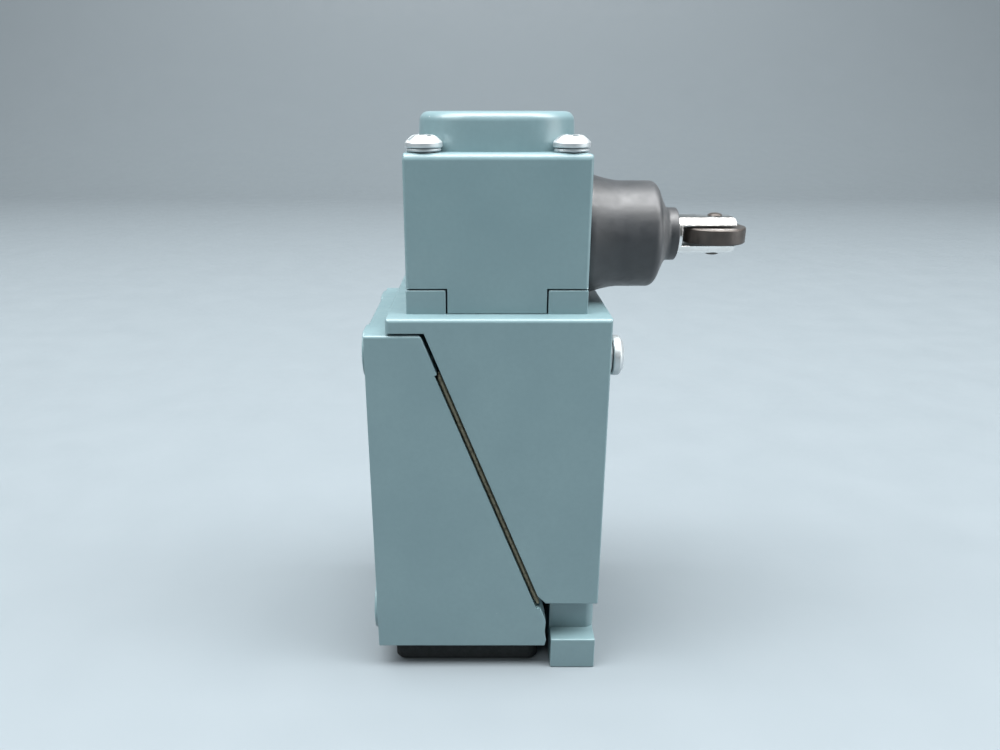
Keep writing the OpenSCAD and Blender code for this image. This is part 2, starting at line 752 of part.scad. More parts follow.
base_housing();
base_gasket();
terminal_block();
terminal_block_screws();
terminal_strips();
terminal_screws();
wire_clamps();
ground_screw();
switch_body();
contact_block();
contact_block_screws();
break_contacts();
make_contacts();
captive_screws();
captive_washers();
operating_pin();
pin_seal();
contact_carrier();
contact_bridge();
bridge_spring();
carrier_spring();
head_housing();
head_gasket();
head_screws();
head_washers();
plunger_bushing();
plunger();
plunger_springs();
roller();
roller_pin();
boot();
head_pushrod();
pushrod_seal();
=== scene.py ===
"""Plug-in limit switch with a side-acting roller plunger: materials, finished pieces and the studio.

Lengths are in metres in the row frame. The origin is the centre of the mounting holes, +X points to
the roller, +Y across the switch and +Z up to the head. MM turns millimetres into metres.
"""

import json
import math

import bmesh
import bpy
from mathutils import Matrix, Vector


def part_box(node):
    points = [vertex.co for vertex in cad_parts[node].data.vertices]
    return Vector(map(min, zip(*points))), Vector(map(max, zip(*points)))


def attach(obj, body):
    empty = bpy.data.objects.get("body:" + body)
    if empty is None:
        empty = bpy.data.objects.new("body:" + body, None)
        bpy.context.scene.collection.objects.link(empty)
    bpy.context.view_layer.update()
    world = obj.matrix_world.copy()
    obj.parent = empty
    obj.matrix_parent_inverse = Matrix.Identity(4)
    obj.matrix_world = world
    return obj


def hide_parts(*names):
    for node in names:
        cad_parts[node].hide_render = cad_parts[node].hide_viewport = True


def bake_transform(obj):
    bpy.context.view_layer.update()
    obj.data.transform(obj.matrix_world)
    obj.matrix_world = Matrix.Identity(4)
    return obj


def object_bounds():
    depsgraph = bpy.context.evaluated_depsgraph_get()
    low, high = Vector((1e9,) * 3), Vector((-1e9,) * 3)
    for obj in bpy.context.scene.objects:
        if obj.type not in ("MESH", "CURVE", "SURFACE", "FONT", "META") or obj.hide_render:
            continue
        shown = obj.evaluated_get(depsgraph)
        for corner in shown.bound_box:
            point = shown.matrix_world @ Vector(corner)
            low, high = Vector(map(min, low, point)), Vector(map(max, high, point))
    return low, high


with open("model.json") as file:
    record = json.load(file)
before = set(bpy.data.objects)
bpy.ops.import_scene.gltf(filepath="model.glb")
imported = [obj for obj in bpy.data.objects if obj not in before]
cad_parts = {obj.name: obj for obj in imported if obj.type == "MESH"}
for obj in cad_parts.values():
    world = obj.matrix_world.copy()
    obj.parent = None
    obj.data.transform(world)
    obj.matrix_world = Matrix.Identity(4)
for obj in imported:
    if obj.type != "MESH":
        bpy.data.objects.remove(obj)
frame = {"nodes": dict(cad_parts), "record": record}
cad_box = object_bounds()

MM = 0.001
WELD = 1e-6
X_AXIS = Vector((1, 0, 0))
Y_AXIS = Vector((0, 1, 0))
Z_AXIS = Vector((0, 0, 1))

record = frame["record"]
slot_of = {part["node"]: part["material_slot"] for part in record["subparts"]}
body_of = {node: body for body, nodes in record["behaviour"]["bodies"].items() for node in nodes}


# ---------------------------------------------------------------- materials


class Paint:
    """A node material under construction: a Principled shader and the nodes that feed it."""

    def __init__(self, name, **constants):
        self.material = bpy.data.materials.new(name)
        self.material.use_nodes = True
        self.tree = self.material.node_tree
        self.shader = self.tree.nodes["Principled BSDF"]
        for socket, value in constants.items():
            self.shader.inputs[socket.replace("_", " ")].default_value = value
        self.place = self.node("ShaderNodeTexCoord").outputs["Object"]

    def node(self, kind, **settings):
        made = self.tree.nodes.new(kind)
        for key, value in settings.items():
            setattr(made, key, value)
        return made

    def link(self, source, target):
        self.tree.links.new(source, target)

    def stretched(self, scale):
        """The object's coordinates multiplied by scale, a triple."""
        mapping = self.node("ShaderNodeMapping")
        mapping.inputs["Scale"].default_value = scale
        self.link(self.place, mapping.inputs["Vector"])
        return mapping.outputs["Vector"]

    def noise(self, size, detail=2.0, roughness=0.5, place=None):
        """Noise whose features are about size metres across."""
        made = self.node("ShaderNodeTexNoise")
        made.inputs["Scale"].default_value = 1 / size
        made.inputs["Detail"].default_value = detail
        made.inputs["Roughness"].default_value = roughness
        self.link(place or self.place, made.inputs["Vector"])
        return made.outputs["Fac"]

    def remap(self, value, low, high, to_low=0.0, to_high=1.0):
        """value between low and high, clamped, becomes to_low to to_high."""
        made = self.node("ShaderNodeMapRange")
        self.link(value, made.inputs["Value"])
        ends = {"From Min": low, "From Max": high, "To Min": to_low, "To Max": to_high}
        for name, number in ends.items():
            made.inputs[name].default_value = number
        return made.outputs["Result"]

    def math(self, operation, first, second):
        made = self.node("ShaderNodeMath", operation=operation)
        for socket, value in zip(made.inputs, (first, second)):
            if isinstance(value, (int, float)):
                socket.default_value = value
            else:
                self.link(value, socket)
        return made.outputs["Value"]

    def mix(self, share, first, second):
        """A colour between first and second; each is a triple or a socket."""
        made = self.node("ShaderNodeMix", data_type="RGBA")
        self.link(share, made.inputs["Factor"])
        for name, value in (("A", first), ("B", second)):
            socket = [s for s in made.inputs if s.name == name and s.type == "RGBA"][0]
            if isinstance(value, tuple):
                socket.default_value = (*value, 1)
            else:
                self.link(value, socket)
        return [s for s in made.outputs if s.type == "RGBA"][0]

    def specks(self, spacing, share, size):
        """1 in small dots about size across, in a share of the cells that are spacing wide."""
        cells = self.node("ShaderNodeTexVoronoi")
        cells.inputs["Scale"].default_value = 1 / spacing
        self.link(self.place, cells.inputs["Vector"])
        dot = self.remap(cells.outputs["Distance"], size / spacing * 0.5, size / spacing * 0.35)
        pick = self.node("ShaderNodeSeparateColor")
        self.link(cells.outputs["Color"], pick.inputs["Color"])
        chosen = self.math("LESS_THAN", pick.outputs["Red"], share)
        return self.math("MULTIPLY", dot, chosen)

    def colour(self, value):
        self.link(value, self.shader.inputs["Base Color"])

    def rough(self, value):
        self.link(value, self.shader.inputs["Roughness"])

    def bump(self, *layers):
        """Each layer is (height socket, depth in metres)."""
        below = None
        for height, depth in layers:
            made = self.node("ShaderNodeBump")
            made.inputs["Strength"].default_value = 1.0
            made.inputs["Distance"].default_value = depth
            self.link(height, made.inputs["Height"])
            if below is not None:
                self.link(below, made.inputs["Normal"])
            below = made.outputs["Normal"]
        self.link(below, self.shader.inputs["Normal"])


def enamel():
    """Grey-green machine enamel on a zinc casting: orange peel, faint mottling, a few dust nibs."""
    paint = Paint("enamel", Metallic=0.0, Coat_Weight=0.25, Coat_Roughness=0.22, Specular_IOR_Level=0.5)
    mottling = paint.noise(14 * MM, detail=4)
    fine = paint.noise(0.9 * MM, detail=3)
    nibs = paint.specks(3.2 * MM, 0.10, 0.34 * MM)
    tone = paint.mix(paint.remap(mottling, 0.3, 0.7), (0.151, 0.237, 0.259), (0.168, 0.259, 0.280))
    tone = paint.mix(paint.remap(fine, 0.35, 0.75, 0.0, 0.25), tone, (0.134, 0.212, 0.231))
    paint.colour(paint.mix(paint.math("MULTIPLY", nibs, 0.5), tone, (0.55, 0.60, 0.60)))
    paint.rough(paint.remap(paint.noise(3 * MM, detail=3), 0.3, 0.7, 0.34, 0.44))
    paint.bump(
        (paint.noise(1.6 * MM, detail=1.5), 0.020 * MM),
        (paint.noise(0.35 * MM, detail=2), 0.004 * MM),
        (nibs, 0.03 * MM),
    )
    return paint.material


def plated(name, light, dark, low, high):
    """Plated or ground metal: a slightly clouded tone, fine grain and small scratches."""
    paint = Paint(name, Metallic=1.0)
    clouds = paint.noise(2.2 * MM, detail=4)
    paint.colour(paint.mix(paint.remap(clouds, 0.3, 0.7), light, dark))
    paint.rough(paint.remap(paint.noise(0.8 * MM, detail=3), 0.3, 0.7, low, high))
    streaks = paint.noise(0.25 * MM, detail=2, place=paint.stretched((1.0, 0.12, 0.4)))
    paint.bump((streaks, 0.004 * MM), (paint.noise(1.1 * MM, detail=2), 0.006 * MM))
    return paint.material


def roller_steel():
    """Dark oiled steel, turned: fine rings round the rim and a brown cast."""
    paint = Paint("roller_steel", Metallic=0.55, Specular_IOR_Level=0.5)
    stains = paint.noise(2.5 * MM, detail=4)
    paint.colour(paint.mix(paint.remap(stains, 0.35, 0.7), (0.090, 0.078, 0.070), (0.058, 0.053, 0.050)))
    paint.rough(paint.remap(paint.noise(0.9 * MM, detail=3), 0.3, 0.7, 0.30, 0.45))
    rings = paint.noise(0.5 * MM, detail=3, place=paint.stretched((0.02, 0.02, 2.5)))
    paint.bump((rings, 0.010 * MM), (paint.noise(0.5 * MM, detail=2), 0.004 * MM))
    return paint.material


def boot_rubber():
    """Moulded black rubber with a satin skin, a grey bloom and some dust."""
    paint = Paint("boot_rubber", Specular_IOR_Level=0.85, Sheen_Weight=0.10, Sheen_Roughness=0.5)
    bloom = paint.noise(6 * MM, detail=5, roughness=0.6)
    dust = paint.specks(1.6 * MM, 0.22, 0.13 * MM)
    tone = paint.mix(paint.remap(bloom, 0.35, 0.75), (0.009, 0.012, 0.015), (0.019, 0.023, 0.028))
    paint.colour(paint.mix(paint.math("MULTIPLY", dust, 0.5), tone, (0.35, 0.36, 0.37)))
    paint.rough(paint.remap(paint.noise(2 * MM, detail=4), 0.3, 0.7, 0.42, 0.56))
    drawn = paint.noise(1.2 * MM, detail=2, place=paint.stretched((0.25, 1.0, 1.0)))
    paint.bump((drawn, 0.018 * MM), (paint.noise(0.22 * MM, detail=2), 0.006 * MM), (dust, 0.02 * MM))
    return paint.material


def plain_rubber():
    """Black seal rubber, matt, with a fine moulded skin."""
    paint = Paint("seal_rubber", Metallic=0.0, Specular_IOR_Level=0.4)
    paint.colour(paint.mix(paint.noise(1.5 * MM, detail=3), (0.012, 0.012, 0.013), (0.024, 0.024, 0.025)))
    paint.rough(paint.remap(paint.noise(0.6 * MM), 0.3, 0.7, 0.55, 0.7))
    paint.bump((paint.noise(0.2 * MM, detail=2), 0.008 * MM))
    return paint.material


def gasket_cork():
    """Cork and rubber sheet: light and dark grains pressed into a tan binder."""
    paint = Paint("gasket_cork", Metallic=0.0, Specular_IOR_Level=0.3)
    grains = paint.node("ShaderNodeTexVoronoi")
    grains.inputs["Scale"].default_value = 1 / (0.5 * MM)
    paint.link(paint.place, grains.inputs["Vector"])
    pick = paint.node("ShaderNodeSeparateColor")
    paint.link(grains.outputs["Color"], pick.inputs["Color"])
    binder = paint.mix(paint.noise(2 * MM, detail=3), (0.178, 0.165, 0.115), (0.250, 0.235, 0.168))
    dark_grains = paint.remap(pick.outputs["Red"], 0.55, 0.95, 0.0, 0.6)
    paint.colour(paint.mix(dark_grains, binder, (0.050, 0.045, 0.035)))
    paint.rough(paint.remap(paint.noise(0.5 * MM), 0.3, 0.7, 0.7, 0.9))
    paint.bump((grains.outputs["Distance"], 0.03 * MM), (paint.noise(0.2 * MM), 0.01 * MM))
    return paint.material


def phenolic(name, dark, light):
    """Moulded phenolic: a near-even tone with fine flow marks and filler specks."""
    paint = Paint(name, Metallic=0.0, Specular_IOR_Level=0.5)
    filler = paint.specks(0.7 * MM, 0.3, 0.15 * MM)
    tone = paint.mix(paint.noise(3 * MM, detail=5, roughness=0.65), dark, light)
    paint.colour(paint.mix(paint.math("MULTIPLY", filler, 0.25), tone, tuple(4 * c for c in light)))
    paint.rough(paint.remap(paint.noise(1.2 * MM, detail=2), 0.3, 0.7, 0.32, 0.48))
    paint.bump((paint.noise(0.8 * MM, detail=2), 0.008 * MM))
    return paint.material


def hub_painted_shade():
    """The conduit hub's surface: near-black painted shade standing in for the shadow under the raised base,
    with a sandy skin.
    """
    paint = Paint("hub_painted_shade", Metallic=0.0, Specular_IOR_Level=0.3)
    # Near-black tones: painted shade for the shadow under the base, not the hub's own colour.
    paint.colour(paint.mix(paint.noise(2 * MM, detail=4), (0.006, 0.008, 0.008), (0.014, 0.017, 0.018)))
    paint.rough(paint.remap(paint.noise(0.7 * MM, detail=3), 0.3, 0.7, 0.6, 0.8))
    paint.bump((paint.noise(0.4 * MM, detail=3), 0.03 * MM))
    return paint.material


def green_plate():
    """Green dyed zinc plate on the ground screw."""
    paint = Paint("green_plate", Metallic=0.6, Specular_IOR_Level=0.5)
    paint.colour(paint.mix(paint.noise(1 * MM, detail=3), (0.018, 0.14, 0.035), (0.035, 0.21, 0.06)))
    paint.rough(paint.remap(paint.noise(0.5 * MM), 0.3, 0.7, 0.30, 0.42))
    paint.bump((paint.noise(0.3 * MM), 0.005 * MM))
    return paint.material


MATERIALS = {
    "paint": enamel(),
    "zinc": plated("zinc_plate", (0.66, 0.70, 0.71), (0.54, 0.58, 0.60), 0.50, 0.60),
    "bright_steel": plated("bright_steel", (0.88, 0.88, 0.87), (0.82, 0.82, 0.80), 0.16, 0.26),
    "roller_steel": roller_steel(),
    "boot_rubber": boot_rubber(),
    "rubber": plain_rubber(),
    "gasket": gasket_cork(),
    "black_plastic": phenolic("black_phenolic", (0.010, 0.010, 0.011), (0.020, 0.020, 0.021)),
    "brown_plastic": phenolic("brown_phenolic", (0.040, 0.016, 0.008), (0.065, 0.028, 0.014)),
    "brass": plated("brass", (0.74, 0.52, 0.22), (0.60, 0.40, 0.16), 0.25, 0.38),
    "silvered": plated("silver_plate", (0.86, 0.84, 0.80), (0.74, 0.71, 0.66), 0.22, 0.34),
    "green_screw": green_plate(),
}


# ------------------------------------------------------- pieces made from CAD nodes

SHARP = math.radians(28)
FLAT = math.radians(0.5)


def cad_shape(node):
    """A CAD node's mesh with its seams welded and each flat face in as few polygons as it takes."""
    shape = bmesh.new()
    shape.from_mesh(frame["nodes"][node].data)
    bmesh.ops.remove_doubles(shape, verts=shape.verts, dist=WELD)
    bmesh.ops.dissolve_limit(shape, angle_limit=FLAT, verts=shape.verts, edges=shape.edges)
    return shape


def as_piece(shape, name, node):
    """Turns a bmesh into an object that stands for a CAD node, and wears its slot's material."""
    mesh = bpy.data.meshes.new(name)
    shape.to_mesh(mesh)
    shape.free()
    mesh.polygons.foreach_set("use_smooth", [True] * len(mesh.polygons))
    mesh.materials.append(MATERIALS[slot_of[node]])
    piece = bpy.data.objects.new(name, mesh)
    bpy.context.scene.collection.objects.link(piece)
    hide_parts(node)
    return piece


def weighted_bevel(piece, width, segments):
    """Rounds the edges that carry a bevel weight; a weight of 1 gives the full width."""
    bevel = piece.modifiers.new("rounding", "BEVEL")
    bevel.limit_method = "WEIGHT"
    bevel.width = width
    bevel.segments = segments
    bevel.use_clamp_overlap = False
    shading = piece.modifiers.new("shading", "WEIGHTED_NORMAL")
    shading.keep_sharp = True


def rounded(node, name, width_at, segments=3):
    """A copy of a CAD node with rounded edges. width_at(edge) gives a radius, or 0 to leave the edge."""
    shape = cad_shape(node)
    weight = shape.edges.layers.float.new("bevel_weight_edge")
    widths = {}
    for edge in shape.edges:
        if edge.is_manifold and edge.calc_face_angle() > SHARP:
            widths[edge] = width_at(edge)
            edge.smooth = widths[edge] > 0
    widest = max(widths.values())
    for edge, width in widths.items():
        edge[weight] = width / widest
    piece = as_piece(shape, name, node)
    weighted_bevel(piece, widest, segments)
    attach(piece, body_of[node])
    return piece


def middle(edge):
    return (edge.verts[0].co + edge.verts[1].co) / 2


def upright(edge):
    span = edge.verts[1].co - edge.verts[0].co
    return abs(span.z) > 0.8 * span.length


base_low, base_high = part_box("base_housing")
body_low, body_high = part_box("switch_body")
head_low, head_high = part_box("head_housing")

CAVITY_HALF_W = 17.6 * MM
SHORTEST_ROUNDED = 0.9 * MM
PARTING_BREAK = 0.15 * MM
HUB_DEPTH = 5 * MM


def base_width(edge):
    """Cast radii outside, a small break along the parting plane, sharp edges in the cavity."""
    at = middle(edge)
    if not edge.is_convex:
        return 0.0
    if at.x < 0.6 * MM:
        return 0.3 * MM
    if edge.calc_length() < SHORTEST_ROUNDED:
        return 0.0
    if at.z < base_low.z + 8 * MM:
        return 0.25 * MM
    if at.z > base_high.z - 1 * MM:
        return 0.55 * MM
    if abs(at.y) < CAVITY_HALF_W + 0.2 * MM and at.z < base_high.z - 3 * MM:
        return 0.0
    return PARTING_BREAK


def body_width(edge):
    """The same for the switch body: soft corners over the foot, a round upper edge, crisp corner posts."""
    at = middle(edge)
    above_foot = at.z - body_low.z
    below_posts = body_high.z - at.z
    from_side = body_high.y - abs(at.y)
    if not edge.is_convex or edge.calc_length() < SHORTEST_ROUNDED:
        return 0.0
    in_cavity = abs(at.y) < CAVITY_HALF_W + 0.2 * MM and at.x < body_high.x - 0.5 * MM
    if in_cavity and above_foot < 74.5 * MM:
        return 0.25 * MM if above_foot < 7.5 * MM else 0.0
    if below_posts < 4.4 * MM:
        return 0.2 * MM
    if upright(edge) and 7.5 * MM < above_foot < 15.5 * MM and from_side < 6 * MM:
        return 1.8 * MM
    if above_foot < 17 * MM:
        return 0.3 * MM
    if below_posts < 6 * MM and from_side < 1 * MM:
        return 0.8 * MM
    if below_posts < 6 * MM or at.x > body_high.x - 1 * MM:
        return 0.45 * MM
    return PARTING_BREAK


def head_width(edge):
    """The head's outer edges: nearly sharp round the tongue, soft corners, a round upper edge."""
    at = middle(edge)
    above_tongue = at.z - head_low.z
    outer = at.x < head_low.x + 1 * MM or at.x > head_high.x - 1 * MM or abs(at.y) > head_high.y - 1 * MM
    if not edge.is_convex or not outer or edge.calc_length() < SHORTEST_ROUNDED:
        return 0.0
    if above_tongue < 4.5 * MM:
        return 0.06 * MM
    if above_tongue < 6 * MM:
        return 0.15 * MM
    return 0.7 * MM if upright(edge) else 1.3 * MM


def even(width):
    return lambda edge: width


def paint_hub_shade(casting):
    """Gives the conduit hub, all that hangs below the base's underside, a near-black material that paints
    in the shade under the base.
    """
    casting.data.materials.append(hub_painted_shade())
    for face in casting.data.polygons:
        # Faces below the base's underside take the painted-shade material.
        if face.center.z < base_low.z + HUB_DEPTH - WELD:
            face.material_index = 1


paint_hub_shade(rounded("base_housing", "base_casting", base_width))
rounded("switch_body", "body_casting", body_width, segments=4)
rounded("head_housing", "head_casting", head_width, segments=5)
rounded("base_gasket", "base_gasket_sheet", even(0.30 * MM))
rounded("plunger", "plunger_fork", even(0.12 * MM), segments=2)
rounded("roller", "roller_wheel_rim", even(0.08 * MM), segments=2)


# ------------------------------------------------------- turned pieces


def turned(profile, steps=96):
    """A solid of revolution about Z. profile is a list of (height, radius): a closed loop beside the
    axis, or a line that starts and ends on it."""
    shape = bmesh.new()
    spokes = [(math.cos(2 * math.pi * i / steps), math.sin(2 * math.pi * i / steps)) for i in range(steps)]
    rings = []
    for height, radius in profile:
        used = spokes[:1] if radius < WELD else spokes
        rings.append([shape.verts.new((radius * x, radius * y, height)) for x, y in used])
    pairs = list(zip(rings, rings[1:]))
    if len(rings[0]) > 1:
        pairs.append((rings[-1], rings[0]))
    for first, second in pairs:
        for i in range(steps):
            j = (i + 1) % steps
            near = [first[i % len(first)], first[j % len(first)]]
            far = [second[j % len(second)], second[i % len(second)]]
            shape.faces.new(list(dict.fromkeys(near + far)))
    bmesh.ops.recalc_face_normals(shape, faces=shape.faces)
    return shape


def arc(centre, radius, start, end, steps=8):
    """Points on a round: centre is (along, out), and angles are in degrees from the out direction."""
    turns = [math.radians(start + (end - start) * i / steps) for i in range(steps + 1)]
    return [(centre[0] + radius * math.sin(t), centre[1] + radius * math.cos(t)) for t in turns]


def flowing(points, steps=5):
    """A smooth line through the points (Catmull-Rom)."""
    padded = [points[0], *points, points[-1]]
    line = []
    for corners in zip(padded, padded[1:], padded[2:], padded[3:]):
        p0, p1, p2, p3 = (Vector(p) for p in corners)
        for i in range(steps):
            t = i / steps
            bend = (2 * p0 - 5 * p1 + 4 * p2 - p3) * t**2
            twist = (3 * p1 - p0 - 3 * p2 + p3) * t**3
            line.append(tuple(0.5 * (2 * p1 + (p2 - p0) * t + bend + twist)))
    line.append(tuple(points[-1]))
    return line


def make_boot():
    """A flared cuff on the head, a straight barrel, a round shoulder and a neck on the plunger."""
    low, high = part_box("boot")
    length = (high.x - low.x) / MM
    flare_r = (high.z - low.z) / 2 / MM
    barrel_r = flare_r - 1.58
    cuff_end, flare_end = 0.9, 7.4
    shoulder_x, shoulder_r = 13.25, 1.8
    neck_r = 5.3
    grip_r = 4.0
    nose_r = 7.05
    bead_r = 6.3
    inner_r = barrel_r - 1.3
    cuff = arc((0.25, flare_r - 0.25), 0.25, -90, 0, 3) + [(cuff_end, flare_r)]
    flare = []
    for t in [i / 8 for i in range(1, 9)]:
        out = barrel_r + (flare_r - barrel_r) * (1 - t) ** 1.5
        flare.append((cuff_end + t * (flare_end - cuff_end), out))
    shoulder = arc((shoulder_x, barrel_r - shoulder_r), shoulder_r, 0, 66)
    slope = flowing([
        shoulder[-1], (15.65, 7.9), (16.35, 6.45), (16.85, 5.65), (17.35, neck_r + 0.03), (17.9, neck_r),
    ])
    neck = arc((length - 0.25, neck_r - 0.25), 0.25, 0, 90, 4)
    inside = [
        (length, grip_r), (16.0, grip_r), (14.15, barrel_r - 3.4), (12.35, inner_r), (4.05, inner_r),
        (2.95, nose_r + 0.8), (2.95, bead_r), (1.65, bead_r), (1.65, nose_r), (0.0, nose_r),
    ]
    outside = cuff + flare + shoulder + slope[1:] + neck
    shape = turned([(along * MM, out * MM) for along, out in outside + inside])
    axis = Vector((low.x, 0, (low.z + high.z) / 2))
    shape.transform(Matrix.Translation(axis) @ Matrix.Rotation(math.pi / 2, 4, "Y"))
    boot = as_piece(shape, "boot_shell", "boot")
    boot.data.set_sharp_from_angle(angle=math.radians(50))
    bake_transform(boot)


make_boot()


# ------------------------------------------------------- screws and washers


def box_shape(low, high):
    shape = bmesh.new()
    bmesh.ops.create_cube(shape, size=1)
    span = Vector(high) - Vector(low)
    centre = (Vector(high) + Vector(low)) / 2
    shape.transform(Matrix.Translation(centre) @ Matrix.Diagonal((*span, 1)))
    return shape


def merged(shapes):
    """One bmesh that holds the shapes, which are freed."""
    whole = bmesh.new()
    for shape in shapes:
        mesh = bpy.data.meshes.new("part")
        shape.to_mesh(mesh)
        shape.free()
        whole.from_mesh(mesh)
        bpy.data.meshes.remove(mesh)
    return whole


def carved(shape, *cutters):
    """The shape with the cutters taken away."""
    holders = []
    for item in (shape, *cutters):
        mesh = bpy.data.meshes.new("blank")
        item.to_mesh(mesh)
        item.free()
        holder = bpy.data.objects.new("blank", mesh)
        bpy.context.scene.collection.objects.link(holder)
        holders.append(holder)
    for cutter in holders[1:]:
        cut = holders[0].modifiers.new("cut", "BOOLEAN")
        cut.operation = "DIFFERENCE"
        cut.solver = "EXACT"
        cut.object = cutter
    result = bmesh.new()
    result.from_object(holders[0], bpy.context.evaluated_depsgraph_get())
    for holder in holders:
        mesh = holder.data
        bpy.data.objects.remove(holder)
        bpy.data.meshes.remove(mesh)
    return result


def pan_screw(radius, height, shank_r, shank_len, turn, rim_share=0.42, flat_share=0.42):
    """A slotted pan head with a short cross nick. The head stands on z = 0 and its shank hangs below.
    Its side is straight up to rim_share of its height, and its top is flat to flat_share of its radius."""
    rim = rim_share * height
    flat_r = flat_share * radius
    slot_floor = max(0.5, rim_share) * height
    dome = []
    for t in [i / 12 for i in range(1, 13)]:
        dome.append((rim + (height - rim) * math.sin(math.pi / 2 * t), radius - (radius - flat_r) * t))
    under = arc((0.25 * MM, radius - 0.25 * MM), 0.25 * MM, -90, 0, 4) + [(rim - 0.08 * MM, radius)]
    break_w = 0.3 * MM
    tip = [
        (-shank_len, 0.0), (-shank_len, shank_r - break_w), (break_w - shank_len, shank_r), (0.0, shank_r),
    ]
    blank = turned(tip + under + dome + [(height, 0.0)], steps=72)
    slot_w = 0.30 * radius
    nick_r = 0.62 * radius
    slot = box_shape((-1.2 * radius, -slot_w / 2, slot_floor), (1.2 * radius, slot_w / 2, 1.2 * height))
    nick = box_shape((-slot_w / 2, -nick_r, 0.45 * height), (slot_w / 2, nick_r, 1.2 * height))
    shape = carved(blank, slot, nick)
    shape.transform(Matrix.Rotation(turn, 4, "Z"))
    return shape


def split_ring(inner_r, outer_r, thickness, rise, gap_at, steps=80):
    """A helical spring washer on z = 0: its section climbs by rise from one side of gap_at to the other."""
    gap = 0.14
    corner = 0.18 * MM
    section = [
        (inner_r, 0), (outer_r - corner, 0), (outer_r, corner), (outer_r, thickness - corner),
        (outer_r - corner, thickness), (inner_r, thickness),
    ]
    shape = bmesh.new()
    rings = []
    for i in range(steps + 1):
        angle = gap_at + gap / 2 + (2 * math.pi - gap) * i / steps
        x, y = math.cos(angle), math.sin(angle)
        lift = rise * i / steps
        rings.append([shape.verts.new((r * x, r * y, z + lift)) for r, z in section])
    for first, second in zip(rings, rings[1:]):
        for k in range(len(section)):
            m = (k + 1) % len(section)
            shape.faces.new((first[k], first[m], second[m], second[k]))
    shape.faces.new(rings[0])
    shape.faces.new(rings[-1])
    bmesh.ops.recalc_face_normals(shape, faces=shape.faces)
    return shape


def set_of(name, node, copies, places, facing=None):
    """Puts each shape at its place, with its +Z turned to facing, and joins them into one piece."""
    turn = facing.to_track_quat("Z", "Y").to_matrix().to_4x4() if facing else Matrix.Identity(4)
    for shape, place in zip(copies, places):
        shape.transform(Matrix.Translation(place) @ turn)
    piece = as_piece(merged(copies), name, node)
    piece.data.set_sharp_from_angle(angle=SHARP)
    edges = piece.modifiers.new("edges", "BEVEL")
    edges.width = 0.04 * MM
    edges.segments = 2
    edges.limit_method = "ANGLE"
    edges.angle_limit = math.radians(40)
    shading = piece.modifiers.new("shading", "WEIGHTED_NORMAL")
    shading.keep_sharp = True
    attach(piece, body_of[node])


def head_fasteners():
    low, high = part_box("head_screws")
    washer_low, washer_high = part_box("head_washers")
    radius = 3.43 * MM
    shank_r = 1.75 * MM
    height = high.z - washer_high.z
    inner_low, inner_high = low + Vector((radius, radius, 0)), high - Vector((radius, radius, 0))
    spots = [Vector((x, y, 0)) for x in (inner_low.x, inner_high.x) for y in (inner_low.y, inner_high.y)]
    turns = [math.radians(a) for a in (35, 118, 12, 74)]
    screws = [pan_screw(radius, height, shank_r, washer_high.z - low.z, turn) for turn in turns]
    set_of("head_screw_set", "head_screws", screws, [spot + Z_AXIS * washer_high.z for spot in spots])
    gaps = [math.radians(a) for a in (55, 200, 128, 140)]
    thickness = (washer_high.z - washer_low.z) * 0.74
    rise = (washer_high.z - washer_low.z) - thickness
    washers = [split_ring(shank_r + 0.1 * MM, radius - 0.26 * MM, thickness, rise, gap) for gap in gaps]
    set_of("head_washer_set", "head_washers", washers, [spot + Z_AXIS * washer_low.z for spot in spots])


def captive_fasteners():
    low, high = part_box("captive_screws")
    washer_low, washer_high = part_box("captive_washers")
    radius = (high.z - low.z) / 2
    shank_r = 2.08 * MM
    mid_z = (low.z + high.z) / 2
    spots = [Vector((0, y, mid_z)) for y in (low.y + radius, high.y - radius)]
    length = washer_high.x - low.x
    height = high.x - washer_high.x
    screws = [pan_screw(radius, height, shank_r, length, math.radians(a), 0.62, 0.62) for a in (78, 20)]
    seats = [spot + X_AXIS * washer_high.x for spot in spots]
    set_of("captive_screw_set", "captive_screws", screws, seats, X_AXIS)
    thickness = (washer_high.x - washer_low.x) * 0.76
    rise = (washer_high.x - washer_low.x) - thickness
    outer_r = radius - 0.36 * MM
    inner_r = shank_r + 0.12 * MM
    washers = [split_ring(inner_r, outer_r, thickness, rise, math.radians(a)) for a in (40, 150)]
    seats = [spot + X_AXIS * washer_low.x for spot in spots]
    set_of("captive_washer_set", "captive_washers", washers, seats, X_AXIS)


head_fasteners()
captive_fasteners()


# ------------------------------------------------------- springs


def coil(start, end, radius, wire, turns, sides=8, steps=24):
    """A compression spring from start to end, with closed end turns. radius is to the wire's middle."""
    shape = bmesh.new()
    axis = (end - start).normalized()
    across = axis.orthogonal().normalized()
    upward = axis.cross(across)
    closed = wire / ((end - start).length - wire)
    count = int(turns * steps)

    def travelled(t):
        """Share of the length covered after a share t of the turns: the end turns lie side by side."""
        turn = t * turns
        if turn < 1:
            return closed * turn
        if turn > turns - 1:
            return 1 - closed * (turns - turn)
        return closed + (1 - 2 * closed) * (turn - 1) / (turns - 2)

    rings = []
    for i in range(count + 1):
        t = i / count
        angle = 2 * math.pi * turns * t
        outward = across * math.cos(angle) + upward * math.sin(angle)
        along = wire / 2 + ((end - start).length - wire) * travelled(t)
        centre = start + axis * along + outward * radius
        ring = []
        for k in range(sides):
            turn = 2 * math.pi * k / sides
            spoke = outward * math.cos(turn) + axis * math.sin(turn)
            ring.append(shape.verts.new(centre + spoke * wire / 2))
        rings.append(ring)
    for first, second in zip(rings, rings[1:]):
        for k in range(sides):
            m = (k + 1) % sides
            shape.faces.new((first[k], first[m], second[m], second[k]))
    shape.faces.new(rings[0])
    shape.faces.new(rings[-1])
    bmesh.ops.recalc_face_normals(shape, faces=shape.faces)
    return shape


